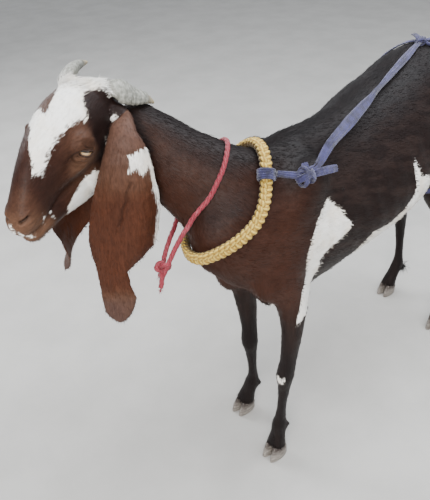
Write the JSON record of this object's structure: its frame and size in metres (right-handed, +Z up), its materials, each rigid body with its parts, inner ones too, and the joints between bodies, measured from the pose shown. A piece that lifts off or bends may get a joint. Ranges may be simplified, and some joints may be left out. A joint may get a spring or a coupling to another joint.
{
  "type": "goat figure",
  "caption": "Life-size standing goat with very long drooping ears, short flat horns and a convex face, wearing a braided collar, a thin neck cord and a cloth strap tied round its loin.",
  "frame": {"origin": "middle of the whole box at the level of the soles", "axes": "the goat faces -Y, its left side is at +X and +Z is up; +Y runs along the body towards the tail"},
  "size_m": [0.3752, 1.189, 0.8618],
  "materials": {
    "coat": "short glossy chocolate-brown hair with white markings",
    "ear": "short reddish-brown hair",
    "eye": "wet amber",
    "horn": "dull grey horn",
    "hoof": "dull grey-brown hoof",
    "rope": "plaited yellow fibre",
    "cord": "twisted red cord",
    "cloth": "rolled lavender-blue cloth"
  },
  "bodies": {
    "root": {"head": "coat", "neck": "coat", "torso": "coat", "tail": "coat", "fore_leg_left": "coat", "fore_leg_right": "coat", "hind_leg_left": "coat", "hind_leg_right": "coat", "ear_left": "ear", "ear_right": "ear", "eye_left": "eye", "eye_right": "eye", "horn_left": "horn", "horn_right": "horn", "claw_left_fore_left": "hoof", "claw_left_fore_right": "hoof", "claw_right_fore_left": "hoof", "claw_right_fore_right": "hoof", "claw_left_hind_left": "hoof", "claw_left_hind_right": "hoof", "claw_right_hind_left": "hoof", "claw_right_hind_right": "hoof", "collar": "rope", "neck_loop": "cord", "loin_loop": "cloth", "strap": "cloth", "strap_knot": "cloth"}
  },
  "joints": []
}
